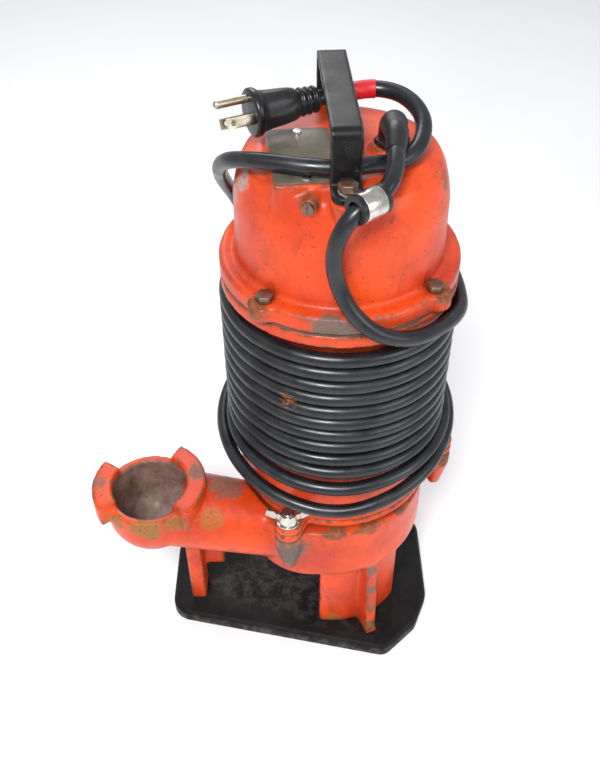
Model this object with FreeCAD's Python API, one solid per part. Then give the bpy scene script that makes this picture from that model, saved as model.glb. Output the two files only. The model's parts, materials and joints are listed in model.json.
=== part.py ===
import FreeCAD, Part
import math
import os

from FreeCAD import Vector as V

# Submersible sewage pump, standing on its base plate.
# Millimetres, +Z up. Origin: on the shaft axis, at the underside of the base plate.
# +X points away from the discharge, and -Y is the side that the nameplate is read from.

# --- base plate ---
PLATE_T = 12.0
PLATE_CORNERS = [(-141, -52, 18), (44, -92, 12), (72, -66, 14), (84, -38, 20),
                 (84, 38, 20), (72, 66, 14), (44, 92, 12), (-141, 26, 18)]
PLATE_BEVEL = 2.5
FOOT_SCREW_R = 3.0
FOOT_SCREW_REACH = 28.0    # tip above the ground
FOOT_SCREW_SINK = 0.6      # its head lies this far inside the plate
SCREW_PLAY = 0.3           # clearance round a screw that passes through
THREAD_FIT = 0.05          # a screw in its own thread is this much smaller than the hole

# --- volute casing ---
MOTOR_R = 71.0             # sets the motor, the joints round it and the casing under it
CASING_LIFT = 84.0         # plate to casing
VOLUTE_H = 59.0
VOLUTE_BOTTOM = PLATE_T + CASING_LIFT
VOLUTE_TOP = VOLUTE_BOTTOM + VOLUTE_H
VOLUTE_R = MOTOR_R + 1.0   # outer radius on the +X side
VOLUTE_GROWTH = 4.0        # each quarter turn of the spiral is this much wider
VOLUTE_CORNER_R = 50.0     # where the flank meets the neck
CAST_WALL = 8.0
CHAMBER_BOTTOM = VOLUTE_BOTTOM + CAST_WALL
ROOF_T = 9.0
CHAMBER_ROOF = VOLUTE_TOP - ROOF_T
SUCTION_R = 31.0
SUCTION_COLLAR_R = 40.0
SUCTION_COLLAR_H = 8.0
SPIGOT_R = MOTOR_R - 14.0  # hole in the casing's top that the seal housing fits
SPIGOT_DEPTH = 7.0

SKIRT_R = 65.0
SKIRT_ARC = (33.0, 101.0)  # degrees either side of +X
RIB_ANGLE = 67.0
RIB_T = 9.0
RIB_FOOT_R = 84.0
RIB_TOP_R = 76.0
RIB_TOP = VOLUTE_BOTTOM + 26.0

# --- discharge ---
DISCHARGE_X = -142.5
DISCHARGE_Y = -46.0
DISCHARGE_R = 28.5
DISCHARGE_WALL = 6.5
DISCHARGE_MOUTH = VOLUTE_TOP + 15.0
ELBOW_Z = VOLUTE_TOP - 3.0
NECK_START = (-8.0, VOLUTE_BOTTOM + 24.0)  # x and z where the neck leaves the spiral
NECK_R = (27.0, 31.0)      # outside, at the spiral and at the elbow
NECK_BORE_R = (17.5, 23.5)
EAR_OUT_R = 43.5
EAR_TOP = DISCHARGE_MOUTH + 8.0
EAR_H = 20.0
RIGHT_EAR = (-48.0, 62.0)   # degrees about the discharge axis
LEFT_EAR = (148.0, 218.0)

LEG_X = DISCHARGE_X + 24.5
LEG_T = 13.0
LEG_Y = (DISCHARGE_Y + 6.0, DISCHARGE_Y + 30.0)
WEB_Y = (DISCHARGE_Y + 19.0, DISCHARGE_Y + 27.0)
WEB_REACH = 24.0
WEB_BOTTOM = PLATE_T + 34.0

# --- joint between casing, seal housing and motor ---
STUD_ANGLES = (-115.0, 5.0, 125.0)
STUD_CIRCLE_R = MOTOR_R + 15.0
STUD_R = 4.0
STUD_DEPTH = 24.0
EAR_R = 10.5
BOSS_H = 26.0
BOSS_TIP_R = 5.0
GASKET_T = 1.0
JOINT_R = MOTOR_R + 3.0
JOINT_PLAY = 1.5           # room round the joint where the neck rises above it
SEAL_FLANGE_T = 7.0
MOTOR_FOOT_T = 7.0
WASHER_T = 1.5
WING_HUB_R = 7.5
WING_HUB_H = 7.5
WING_SPAN = 17.0
WING_TIP_H = 12.5
WING_T = 3.2
WING_TURNS = (0.0, 75.0, 20.0)   # how far each nut was left turned

# --- seal housing ---
SEAL_RECESS_R = 18.0
SEAL_SEAT_R = 14.0
SEAL_SEAT_DROP = 5.7
SEAL_FACE_H = 4.0
SHAFT_HOLE_R = 10.0
BEARING_BOSS_WALL = 7.0
SPIGOT_PLAY = 0.15

# --- motor housing and cap ---
MOTOR_WALL = 7.0
MOTOR_H = 186.0
RIM_R = MOTOR_R + 8.5
RIM_T = 10.0
CAP_GASKET_T = 1.0
CAP_FLANGE_T = 12.0
CAP_WALL = 6.0
DOME_R = MOTOR_R - 2.5
CAP_H = 84.0
DOME_SHOULDER_R = DOME_R - 8.5
CAP_BOLT_CIRCLE_R = MOTOR_R + 3.5
CAP_BOLT_ANGLES = (-130.0, -40.0, 50.0, 140.0)
CAP_BOLT_R = 3.0
CAP_LUG_R = 9.5
CAP_LUG_CIRCLE_R = MOTOR_R + 5.5
BRACKET_RIM_R = MOTOR_R - 4.0
BRACKET_RIM_T = 5.0
BRACKET_T = 7.0
BRACKET_HOLES = (20, 110, 200, 290)
BRACKET_HOLE_R = 9.0
BRACKET_HOLE_CIRCLE_R = 45.0
OIL_ANGLE = -109.0
OIL_DROP = 6.0
OIL_FACE_R = DOME_R - 3.5  # radius that its boss is faced off at
OIL_BOSS_R = 5.0
OIL_BORE_L = 24.0
OIL_PLUG_R = 2.4
OIL_PLUG_L = 6.0
OIL_HEAD_T = 2.0

# --- nameplate ---
PAD_CENTRE = (-24.5, -17.0)
PAD_TURN = 5.4
PAD_SIZE = (41.0, 67.0)
PAD_CORNER_R = 5.0
PAD_ROOT = 24.0            # how far its sides run down into the dome
PAD_H = 2.0
NAMEPLATE_MARGIN = 1.5
NAMEPLATE_T = 0.8
NAMEPLATE_SCREW_R = 1.5

# --- handle: flat strap, its middle turned a little off the Y axis ---
STRAP_W = 18.0
STRAP_T = 4.0
HANDLE_X = -3.0
HANDLE_TURN = 3.0
HANDLE_HALF = DOME_R - 14.5
HANDLE_RISE = 37.0
HANDLE_FOOT = 15.0
HANDLE_BEND_R = 6.0
HANDLE_BOLT_R = 3.0
HANDLE_BOLT_L = 18.0
HANDLE_PAD_R = 10.0
HANDLE_CORNER_R = 7.0
HANDLE_BOLT_Y = HANDLE_HALF + HANDLE_FOOT / 2 + 1
M6_ACROSS = 10.0
M6_HEAD_H = 4.5

# --- shaft and bearings (17 x 40 x 12 ball bearings) ---
SHAFT_R = 8.0
BEARING_BORE_R = 8.5
BEARING_R = 20.0
BEARING_W = 12.0
BALL_R = 3.3
BALL_COUNT = 8
BALL_CIRCLE_R = (BEARING_BORE_R + BEARING_R) / 2
RUNNING_GAP = 0.05
ROTOR_R = 36.0
AIR_GAP = 0.4
CORE_LIFT = 42.0
CORE_L = 80.0
END_RING_H = 7.0
WINDING_H = 18.0
WINDING_R = (40.0, 60.0)

IMPELLER_R = 46.0
IMPELLER_Z = (CHAMBER_BOTTOM + 8.0, CHAMBER_ROOF - 4.0)
SHROUD_T = 6.0
HUB_R = 14.0
VANE_T = 7.0
VANE_BEND_R = 20.0
IMPELLER_SCREW_R = 4.0

# --- supply cord ---
CORD_R = 5.0
COIL_CLEARANCE = 0.3
COIL_TOP_GAP = 0.4         # below the motor's rim
COIL_LIFT = 40.0           # above the motor's foot
LOOP_R = MOTOR_R + 15.0    # centreline radius of the loose bottom turn
LOOP_LIFT = 48.0
LOOP_TILT = 15.5           # its front hangs lower than its back
GLAND_X, GLAND_Y = 29.0, -6.0
GLAND_BOSS_R = 13.0
GLAND_BOSS_H = 4.0
GLAND_NUT_R = 9.8
GLAND_NUT_H = 5.0
GLAND_HOLE_R = 8.0
GROMMET_L = 13.0
GROMMET_WALL = 2.4         # of the nut and the boot round the grommet
BOOT_BASE_R = 8.6
BOOT_TIP_R = 6.6
BAND_T = 0.7
BAND_L = 12.0
BAND_START = 4.5               # from the bend before it
PLUG_END = V(-15, 17, 455)     # where the cord enters the plug
PLUG_AXIS_TURN = 205.0         # heading of the plug's blades, degrees from +X
CLIP_AXIS_TURN = 219.0         # heading of the cord through the clip
CLIP_W = 14.0
CLIP_T = 1.2
CUSHION_T = 2.4
CLIP_REACH = 17.0
CLIP_EAR_R = 5.6
PLUG_NECK_L = 14.0
PLUG_L = 30.0
PLUG_FACE_R = 14.5
PLUG_FACE_T = 5.0
BLADE_L = 17.0
BLADE_W = 6.3
BLADE_T = 1.6
BLADE_GAP = 12.7
BLADE_DROP = 3.0           # of the blades below the plug's middle
BLADE_ROLL = 25.0
PIN_R = 2.4
PIN_L = 18.5
PIN_OFFSET = 8.5

CORD_FRONT = [V(28, -37, 453), V(27.5, -49, 451), V(25, -60.5, 446), V(18.2, -69.7, 440.8),
              V(4.5, -80.8, 438.6), V(-4.2, -83.5, 427), V(-8, -80, 408), V(-5, -79.5, 388),
              V(4, -83.5, 370), V(20, -86.5, 355.5), V(42, -78, 345), V(64, -60, 341.5),
              V(78.5, -36, 335), V(80, -13, 333.3)]
CORD_REAR = [V(16, 84.5, 234.5), V(-8, 87, 242), V(-30, 83, 257), V(-48, 76, 278), V(-58, 71, 305),
             V(-63.5, 69, 335), V(-70, 60, 361), V(-75.5, 42, 383), V(-77, 21, 403), V(-74.5, 0, 421.5),
             V(-67, -19, 435), V(-54, -32, 442),
             V(-38, -37.5, 443), V(-19, -43, 443), V(0, -43.3, 442.5), V(17, -36.5, 441.2),
             V(32, -34, 440.6), V(44.5, -22, 444), V(48.5, 0, 450.5), V(39, 20, 455), V(23, 30, 455.5),
             V(4, 26, 455), V(-15, 17, 455)]

# --- heights that follow from the sizes above ---
SEAL_BOTTOM = VOLUTE_TOP + GASKET_T
MOTOR_BOTTOM = SEAL_BOTTOM + SEAL_FLANGE_T
SEAL_SEAT_Z = (MOTOR_BOTTOM - SEAL_SEAT_DROP, MOTOR_BOTTOM)
MOTOR_TOP = MOTOR_BOTTOM + MOTOR_H
LOWER_BEARING_Z = MOTOR_BOTTOM + 7.0
UPPER_BEARING_Z = MOTOR_TOP - 25.0
SHAFT_TOP = MOTOR_TOP - 4.0
CORE_Z = (MOTOR_BOTTOM + CORE_LIFT, MOTOR_BOTTOM + CORE_LIFT + CORE_L)
COIL_TOP = MOTOR_TOP - RIM_T - COIL_TOP_GAP
COIL_BOTTOM = MOTOR_BOTTOM + COIL_LIFT
LOOP_Z = MOTOR_BOTTOM + LOOP_LIFT
FOOT_TOP = MOTOR_BOTTOM + MOTOR_FOOT_T
CAP_BOTTOM = MOTOR_TOP + CAP_GASKET_T
LEDGE = CAP_BOTTOM + CAP_FLANGE_T
DOME_TOP = CAP_BOTTOM + CAP_H
OIL_Z = DOME_TOP - OIL_DROP
HANDLE_TOP = DOME_TOP + HANDLE_RISE
GLAND_TOP = DOME_TOP + GLAND_BOSS_H + GLAND_NUT_H
Z = V(0, 0, 1)

# --- electrical parts under the cap ---
CAPACITOR_R = 18.0
CAPACITOR_L = 74.0
CAPACITOR_AT = V(-12, -2, MOTOR_TOP + 22)
CAPACITOR_STRAP_W = 16.0
PROTECTOR_AT = V(29, 34, 0)
PROTECTOR_R = 13.0
WIRE_R = 1.2
WIRE_BENDS = {20: V(37, 3, MOTOR_TOP + 46), 110: V(12, 43, MOTOR_TOP + 47),
              290: V(26, -26, MOTOR_TOP + 44)}   # bracket hole's angle, and a bend on the way to it


def polar(radius, angle, z=0.0):
    a = math.radians(angle)
    return V(radius * math.cos(a), radius * math.sin(a), z)


def cyl(radius, z0, z1, at=V(0, 0, 0)):
    return Part.makeCylinder(radius, z1 - z0, V(at.x, at.y, z0))


def ring(inner, outer, z0, z1, at=V(0, 0, 0)):
    return cyl(outer, z0, z1, at).cut(cyl(inner, z0 - 1, z1 + 1, at))


def block(x0, x1, y0, y1, z0, z1):
    return Part.makeBox(x1 - x0, y1 - y0, z1 - z0, V(x0, y0, z0))


def fuse(*shapes):
    shapes = list(shapes)
    return shapes[0].multiFuse(shapes[1:]).removeSplitter() if len(shapes) > 1 else shapes[0]


def turned(shape, angle, about=V(0, 0, 0), axis=Z):
    copy = shape.copy()
    copy.rotate(about, axis, angle)
    return copy


def revolve(points, at=V(0, 0, 0)):
    """Solid of revolution about the vertical through `at`, from (radius, z) corners."""
    corners = [V(at.x + r, at.y, z) for r, z in points]
    face = Part.Face(Part.makePolygon(corners + corners[:1]))
    return face.revolve(V(at.x, at.y, 0), Z, 360)


def sector(inner, outer, z0, z1, a0, a1, at=V(0, 0, 0)):
    """Part of a ring between two angles."""
    face = Part.Face(Part.makePolygon([at + V(inner, 0, z0), at + V(outer, 0, z0), at + V(outer, 0, z1),
                                       at + V(inner, 0, z1), at + V(inner, 0, z0)]))
    return turned(face.revolve(at, Z, a1 - a0), a0, at)


def hexagon(across_flats, z0, z1, at):
    corner_r = across_flats / math.sqrt(3)
    points = [V(at.x, at.y, z0) + polar(corner_r, 60 * i) for i in range(7)]
    return Part.Face(Part.makePolygon(points)).extrude(V(0, 0, z1 - z0))


def rounded_outline(corners, z):
    """Closed wire through (x, y, corner radius) points."""
    edges, ends = [], []
    count = len(corners)
    for i, (x, y, radius) in enumerate(corners):
        here = V(x, y, z)
        before = V(*corners[i - 1][:2], z) - here
        after = V(*corners[(i + 1) % count][:2], z) - here
        before.normalize()
        after.normalize()
        half = before.getAngle(after) / 2
        reach = radius / math.tan(half)
        bisector = (before + after).normalize()
        centre_line = radius / math.sin(half) - radius
        ends.append((here + before * reach, here + bisector * centre_line, here + after * reach))
    for i, (start, middle, end) in enumerate(ends):
        edges.append(Part.Arc(start, middle, end).toShape())
        edges.append(Part.LineSegment(end, ends[(i + 1) % count][0]).toShape())
    return Part.Wire(edges)


def corner_radius(a, b, c):
    """Radius of the tangent arc that rounds a cord's route at b."""
    turn = (b - a).getAngle(c - b)
    return 0.45 * min((b - a).Length, (c - b).Length) / math.tan(turn / 2)


def route_wire(points):
    """Straight runs joined by tangent arcs, and its length."""
    edges, start = [], points[0]
    for a, b, c in zip(points, points[1:], points[2:]):
        turn = (b - a).getAngle(c - b)
        radius = corner_radius(a, b, c)
        reach = radius * math.tan(turn / 2)
        back = (a - b).normalize()
        ahead = (c - b).normalize()
        inward = (back + ahead).normalize()
        middle = b + inward * (radius / math.cos(turn / 2) - radius)
        edges.append(Part.LineSegment(start, b + back * reach).toShape())
        edges.append(Part.Arc(b + back * reach, middle, b + ahead * reach).toShape())
        start = b + ahead * reach
    edges.append(Part.LineSegment(start, points[-1]).toShape())
    return Part.Wire(edges)


def tube(points, radius):
    path = route_wire(points)
    heading = (points[1] - points[0]).normalize()
    profile = Part.Wire(Part.Circle(points[0], heading, radius).toShape())
    return path.makePipeShell([profile], True, False)


def spiral_outline(inset, z):
    """Casing outline: three quarter arcs that widen clockwise from the -X side, then a straight flank."""
    g, r = VOLUTE_GROWTH, VOLUTE_R
    first, second, third = r - g, r, r + g
    c1, c2, c3 = V(0, 0, z), V(0, -g, z), V(-g, -g, z)

    def quarter(centre, radius, a0):
        radius -= inset
        points = [centre + polar(radius, a) for a in (a0, a0 - 45, a0 - 90)]
        return Part.Arc(*points).toShape(), points

    arc1, p1 = quarter(c1, first, 180)
    arc2, p2 = quarter(c2, second, 90)
    arc3, p3 = quarter(c3, third, 0)
    flank_end = V(-first + inset + VOLUTE_CORNER_R, p3[2].y, z)
    flank = Part.LineSegment(p3[2], flank_end).toShape()
    corner = V(-first + inset, p3[2].y + VOLUTE_CORNER_R, z)
    set_in = VOLUTE_CORNER_R * (1 - math.sqrt(0.5))
    bend = Part.Arc(flank_end, V(-first + inset + set_in, p3[2].y + set_in, z), corner).toShape()
    side = Part.LineSegment(corner, p1[0]).toShape()
    return Part.Wire([arc1, arc2, arc3, flank, bend, side])


def base_plate():
    plate = Part.Face(rounded_outline(PLATE_CORNERS, 0)).extrude(V(0, 0, PLATE_T))
    rim = [e for e in plate.Edges if abs(e.BoundBox.ZMin - PLATE_T) < 1e-6 and e.BoundBox.ZLength < 1e-6]
    plate = plate.makeChamfer(PLATE_BEVEL, rim)
    for at in foot_screw_places():
        plate = plate.cut(foot_screw(at, SCREW_PLAY, FOOT_SCREW_SINK / 2))
    return plate


def foot_screw_places():
    rib_r = (SKIRT_R - CAST_WALL + RIB_FOOT_R) / 2
    leg = V(LEG_X, sum(LEG_Y) / 2, 0)
    return [leg, polar(rib_r, -RIB_ANGLE), polar(rib_r, RIB_ANGLE)]


def foot_screw(at, play, sink):
    """Countersunk screw that enters from under the plate; `play` makes it the hole instead."""
    r = FOOT_SCREW_R + play
    tip = FOOT_SCREW_REACH + play
    face = sink - 0.3
    return revolve([(0, face), (2 * r, face), (2 * r, sink), (r, sink + r), (r, tip), (0, tip)], at)


def base_plate_screws():
    return Part.makeCompound([foot_screw(at, 0, FOOT_SCREW_SINK) for at in foot_screw_places()])


def neck_frame():
    """Start, end and direction of the sloping discharge neck."""
    start = V(NECK_START[0], DISCHARGE_Y, NECK_START[1])
    end = V(DISCHARGE_X, DISCHARGE_Y, ELBOW_Z)
    return start, end, (end - start)


def stud_ears(z0, z1, radius=EAR_R):
    ears = []
    for angle in STUD_ANGLES:
        at = polar(STUD_CIRCLE_R, angle)
        web = turned(block(SPIGOT_R + 4, STUD_CIRCLE_R, -radius, radius, z0, z1), angle)
        ears += [cyl(radius, z0, z1, at), web]
    return ears


def stud_holes(z0, z1, play=SCREW_PLAY):
    return [cyl(STUD_R + play, z0, z1, polar(STUD_CIRCLE_R, a)) for a in STUD_ANGLES]


def volute_casing():
    shell = Part.Face(spiral_outline(0, VOLUTE_BOTTOM)).extrude(V(0, 0, VOLUTE_TOP - VOLUTE_BOTTOM))
    lower_rim = [e for e in shell.Edges if e.BoundBox.ZMax < VOLUTE_BOTTOM + 1e-6]
    shell = shell.makeFillet(CAST_WALL + 4, lower_rim)

    start, end, along = neck_frame()
    neck = Part.makeCone(*NECK_R, along.Length, start, along)
    elbow_r = DISCHARGE_R + DISCHARGE_WALL
    elbow_at = V(DISCHARGE_X, DISCHARGE_Y, 0)
    elbow = [Part.makeSphere(elbow_r, V(DISCHARGE_X, DISCHARGE_Y, ELBOW_Z), Z, -90, 0, 360),
             cyl(elbow_r, ELBOW_Z, DISCHARGE_MOUTH, elbow_at)]
    ears = [sector(DISCHARGE_R, EAR_OUT_R, EAR_TOP - EAR_H, EAR_TOP, *span, elbow_at)
            for span in (RIGHT_EAR, LEFT_EAR)]

    skirts, ribs = [], []
    for side in (-1, 1):
        arc = sector(SKIRT_R - CAST_WALL, SKIRT_R, PLATE_T, CHAMBER_BOTTOM - 1, *SKIRT_ARC)
        side_face = [V(SKIRT_R - CAST_WALL, -RIB_T / 2, PLATE_T), V(RIB_FOOT_R, -RIB_T / 2, PLATE_T),
                     V(RIB_TOP_R, -RIB_T / 2, RIB_TOP), V(SKIRT_R - CAST_WALL, -RIB_T / 2, RIB_TOP)]
        rib = Part.Face(Part.makePolygon(side_face + side_face[:1])).extrude(V(0, RIB_T, 0))
        skirts.append(arc if side > 0 else arc.mirror(V(0, 0, 0), V(0, 1, 0)))
        ribs.append(turned(rib, side * RIB_ANGLE))

    leg = block(LEG_X - LEG_T / 2, LEG_X + LEG_T / 2, *LEG_Y, PLATE_T, ELBOW_Z - 8)
    web = block(LEG_X, LEG_X + WEB_REACH, *WEB_Y, WEB_BOTTOM, ELBOW_Z - 12)
    collar = cyl(SUCTION_COLLAR_R, VOLUTE_BOTTOM - SUCTION_COLLAR_H, CHAMBER_BOTTOM)

    bosses = stud_ears(VOLUTE_TOP - BOSS_H / 2, VOLUTE_TOP)
    for angle in STUD_ANGLES:
        at = polar(STUD_CIRCLE_R, angle)
        root = VOLUTE_TOP - BOSS_H / 2
        bosses.append(Part.makeCone(BOSS_TIP_R, EAR_R, BOSS_H, V(at.x, at.y, root - BOSS_H)))
    body = fuse(shell, neck, *elbow, *ears, *skirts, *ribs, leg, web, collar, *bosses)

    chamber_floor = Part.Face(spiral_outline(CAST_WALL, CHAMBER_BOTTOM))
    chamber = chamber_floor.extrude(V(0, 0, CHAMBER_ROOF - CHAMBER_BOTTOM))
    hollows = [chamber,
               cyl(SUCTION_R, 0, CHAMBER_BOTTOM + 1),
               cyl(SPIGOT_R, CHAMBER_ROOF - 1, VOLUTE_TOP + 1),
               Part.makeCone(*NECK_BORE_R, along.Length, start, along),
               Part.makeSphere(DISCHARGE_R, V(DISCHARGE_X, DISCHARGE_Y, ELBOW_Z + 1)),
               cyl(DISCHARGE_R, ELBOW_Z + 1, EAR_TOP + EAR_H, elbow_at),
               cyl(JOINT_R + JOINT_PLAY, VOLUTE_TOP, EAR_TOP + EAR_H),
               *stud_ears(VOLUTE_TOP, EAR_TOP + EAR_H, EAR_R + JOINT_PLAY),
               *stud_holes(VOLUTE_TOP - STUD_DEPTH, VOLUTE_TOP + 1, 0)]
    hollows += [cyl(FOOT_SCREW_R, PLATE_T - 1, FOOT_SCREW_REACH + 0.5, at) for at in foot_screw_places()]
    for hollow in hollows:
        body = body.cut(hollow)
    return body


def volute_gasket():
    return ring(SPIGOT_R + 1, VOLUTE_R - VOLUTE_GROWTH - 1, VOLUTE_TOP, SEAL_BOTTOM)


def seal_housing():
    pocket_r = BEARING_R + RUNNING_GAP
    boss_top = LOWER_BEARING_Z + BEARING_W
    body = fuse(cyl(SPIGOT_R - SPIGOT_PLAY, VOLUTE_TOP - SPIGOT_DEPTH, SEAL_BOTTOM),
                cyl(JOINT_R, SEAL_BOTTOM, MOTOR_BOTTOM),
                cyl(MOTOR_R - MOTOR_WALL - 0.1, MOTOR_BOTTOM, MOTOR_BOTTOM + 5),
                cyl(BEARING_R + BEARING_BOSS_WALL, MOTOR_BOTTOM, boss_top),
                *stud_ears(SEAL_BOTTOM, MOTOR_BOTTOM))
    for hollow in [cyl(SEAL_RECESS_R, 0, SEAL_SEAT_Z[0]), cyl(SEAL_SEAT_R, 0, SEAL_SEAT_Z[1]),
                   cyl(SHAFT_HOLE_R, 0, boss_top), cyl(pocket_r, LOWER_BEARING_Z, boss_top + 1),
                   *stud_holes(SEAL_BOTTOM - 1, MOTOR_BOTTOM + 1)]:
        body = body.cut(hollow)
    return body


def motor_housing():
    tube_body = cyl(MOTOR_R, MOTOR_BOTTOM, MOTOR_TOP)
    body = fuse(tube_body, cyl(JOINT_R, MOTOR_BOTTOM, FOOT_TOP), cyl(RIM_R, MOTOR_TOP - RIM_T, MOTOR_TOP),
                *stud_ears(MOTOR_BOTTOM, FOOT_TOP))
    for hollow in [cyl(MOTOR_R - MOTOR_WALL, 0, MOTOR_TOP + 1),
                   cyl(BRACKET_RIM_R + 0.1, MOTOR_TOP - BRACKET_RIM_T, MOTOR_TOP + 1),
                   *stud_holes(MOTOR_BOTTOM - 1, FOOT_TOP + 1)]:
        body = body.cut(hollow)
    for angle in CAP_BOLT_ANGLES:
        at = polar(CAP_BOLT_CIRCLE_R, angle)
        body = body.cut(cyl(CAP_BOLT_R, MOTOR_TOP - RIM_T + 1, MOTOR_TOP + 1, at))
    return body


def upper_bearing_bracket():
    plate_bottom = MOTOR_TOP - BRACKET_RIM_T - BRACKET_T
    inside_r = MOTOR_R - MOTOR_WALL - 0.1
    body = fuse(cyl(BRACKET_RIM_R, MOTOR_TOP - BRACKET_RIM_T, MOTOR_TOP),
                cyl(inside_r, plate_bottom, MOTOR_TOP - BRACKET_RIM_T),
                cyl(BEARING_R + BEARING_BOSS_WALL - 1, UPPER_BEARING_Z - 1, plate_bottom))
    body = body.cut(cyl(BEARING_R + RUNNING_GAP, 0, UPPER_BEARING_Z + BEARING_W + 1.2))
    body = body.cut(cyl(SHAFT_HOLE_R, 0, MOTOR_TOP + 1))
    for angle in BRACKET_HOLES:
        body = body.cut(cyl(BRACKET_HOLE_R, 0, MOTOR_TOP + 1, polar(BRACKET_HOLE_CIRCLE_R, angle)))
    return body


def dome_profile(inset):
    """Corners of the cap's outline from the ledge up, as (radius, z)."""
    r, top = DOME_R - inset, DOME_TOP - inset
    return [(r, LEDGE), (r - 0.8, LEDGE + 42), (r - 2.5, top - 20), (r - 5, top - 11),
            (DOME_SHOULDER_R - inset, top - 4.5), (DOME_SHOULDER_R - inset - 9, top - 1),
            (DOME_SHOULDER_R - inset - 18, top)]


def pad_shape(margin, z0, z1):
    w, l = PAD_SIZE[0] / 2 - margin, PAD_SIZE[1] / 2 - margin
    corners = [(x, y, PAD_CORNER_R - margin) for x, y in ((-w, -l), (w, -l), (w, l), (-w, l))]
    pad = Part.Face(rounded_outline(corners, z0)).extrude(V(0, 0, z1 - z0))
    pad.rotate(V(0, 0, 0), Z, PAD_TURN)
    pad.translate(V(*PAD_CENTRE, 0))
    return pad


def nameplate_screw_places():
    places = [V(0, s * (PAD_SIZE[1] / 2 - 6), 0) for s in (-1, 1)]
    turn = FreeCAD.Rotation(Z, PAD_TURN)
    return [turn.multVec(p) + V(*PAD_CENTRE, 0) for p in places]


def handle_frame(point):
    """Turns a point given in the handle's own frame into the object's."""
    return FreeCAD.Rotation(Z, HANDLE_TURN).multVec(point) + V(HANDLE_X, 0, 0)


def handle_bolt_places():
    return [handle_frame(V(0, s * HANDLE_BOLT_Y, 0)) for s in (-1, 1)]


def oil_round(radius, r0, r1):
    """Round bar along the oil hole's own axis, between two distances from the shaft."""
    return turned(Part.makeCylinder(radius, r1 - r0, V(r0, 0, OIL_Z), V(1, 0, 0)), OIL_ANGLE)


def motor_cap():
    outline = [(0, CAP_BOTTOM), (RIM_R, CAP_BOTTOM), (RIM_R, LEDGE - 2), (RIM_R - 2, LEDGE)]
    body = revolve(outline + dome_profile(0) + [(0, DOME_TOP)])
    lugs = [cyl(CAP_LUG_R, CAP_BOTTOM, LEDGE - 1, polar(CAP_LUG_CIRCLE_R, a)) for a in CAP_BOLT_ANGLES]
    pads = [Part.makeCone(HANDLE_PAD_R * 0.5, HANDLE_PAD_R, 26, V(p.x, p.y, DOME_TOP - 26))
            for p in handle_bolt_places()]
    gland_boss = cyl(GLAND_BOSS_R, DOME_TOP - 12, DOME_TOP + GLAND_BOSS_H, V(GLAND_X, GLAND_Y, 0))
    oil_boss = oil_round(OIL_BOSS_R, OIL_FACE_R - OIL_BORE_L / 2, OIL_FACE_R)
    body = fuse(body, *lugs, *pads, pad_shape(0, DOME_TOP - PAD_ROOT, DOME_TOP + PAD_H), gland_boss, oil_boss)
    inside = [(0, CAP_BOTTOM - 1), (DOME_R - CAP_WALL, CAP_BOTTOM - 1)] + dome_profile(CAP_WALL)
    inside += [(0, DOME_TOP - CAP_WALL)]
    body = body.cut(revolve(inside))
    body = body.cut(cyl(GLAND_HOLE_R, DOME_TOP - 20, DOME_TOP + 20, V(GLAND_X, GLAND_Y, 0)))
    body = body.cut(oil_round(OIL_PLUG_R, OIL_FACE_R - OIL_BORE_L, OIL_FACE_R + 20))
    for angle in CAP_BOLT_ANGLES:
        at = polar(CAP_BOLT_CIRCLE_R, angle)
        body = body.cut(cyl(CAP_BOLT_R + SCREW_PLAY, CAP_BOTTOM - 1, LEDGE + 1, at))
        body = body.cut(cyl(M6_ACROSS * 0.7, LEDGE - 1, LEDGE + 8, at))
    for at in handle_bolt_places():
        body = body.cut(cyl(HANDLE_BOLT_R, DOME_TOP - 16, DOME_TOP + 1, at))
    for at in nameplate_screw_places():
        body = body.cut(cyl(NAMEPLATE_SCREW_R, DOME_TOP - 4, DOME_TOP + PAD_H + 1, at))
    return body


def oil_fill_plug():
    top = OIL_FACE_R + OIL_HEAD_T
    body = fuse(oil_round(OIL_PLUG_R - THREAD_FIT, OIL_FACE_R - OIL_PLUG_L, OIL_FACE_R),
                oil_round(OIL_BOSS_R - 1.5, OIL_FACE_R, top))
    slot = block(top - 1, top + 2, -0.5, 0.5, OIL_Z - OIL_BOSS_R, OIL_Z + OIL_BOSS_R)
    return body.cut(turned(slot, OIL_ANGLE))


def cap_gasket():
    body = ring(BRACKET_RIM_R + 1, RIM_R - 0.5, MOTOR_TOP, CAP_BOTTOM)
    for angle in CAP_BOLT_ANGLES:
        at = polar(CAP_BOLT_CIRCLE_R, angle)
        body = body.cut(cyl(CAP_BOLT_R + SCREW_PLAY, MOTOR_TOP - 1, CAP_BOTTOM + 1, at))
    return body


def m6_bolt(at, shank_r, seat, depth):
    head = hexagon(M6_ACROSS, seat, seat + M6_HEAD_H, at)
    return fuse(cyl(shank_r - THREAD_FIT, seat - depth, seat, at), head)


def cap_bolts():
    seat = LEDGE - 1
    depth = seat - (MOTOR_TOP - RIM_T + 1.5)
    return Part.makeCompound([m6_bolt(polar(CAP_BOLT_CIRCLE_R, a), CAP_BOLT_R, seat, depth)
                              for a in CAP_BOLT_ANGLES])


def nameplate():
    z0 = DOME_TOP + PAD_H
    plate = pad_shape(NAMEPLATE_MARGIN, z0, z0 + NAMEPLATE_T)
    for at in nameplate_screw_places():
        plate = plate.cut(cyl(NAMEPLATE_SCREW_R + 0.2, z0 - 1, z0 + 2, at))
    return plate


def nameplate_screws():
    seat = DOME_TOP + PAD_H + NAMEPLATE_T
    screws = []
    for at in nameplate_screw_places():
        head = revolve([(0, seat), (3, seat), (2.6, seat + 1.1), (0, seat + 1.5)], at)
        screws.append(fuse(cyl(NAMEPLATE_SCREW_R - 0.05, seat - 4.5, seat, at), head))
    return Part.makeCompound(screws)


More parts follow.
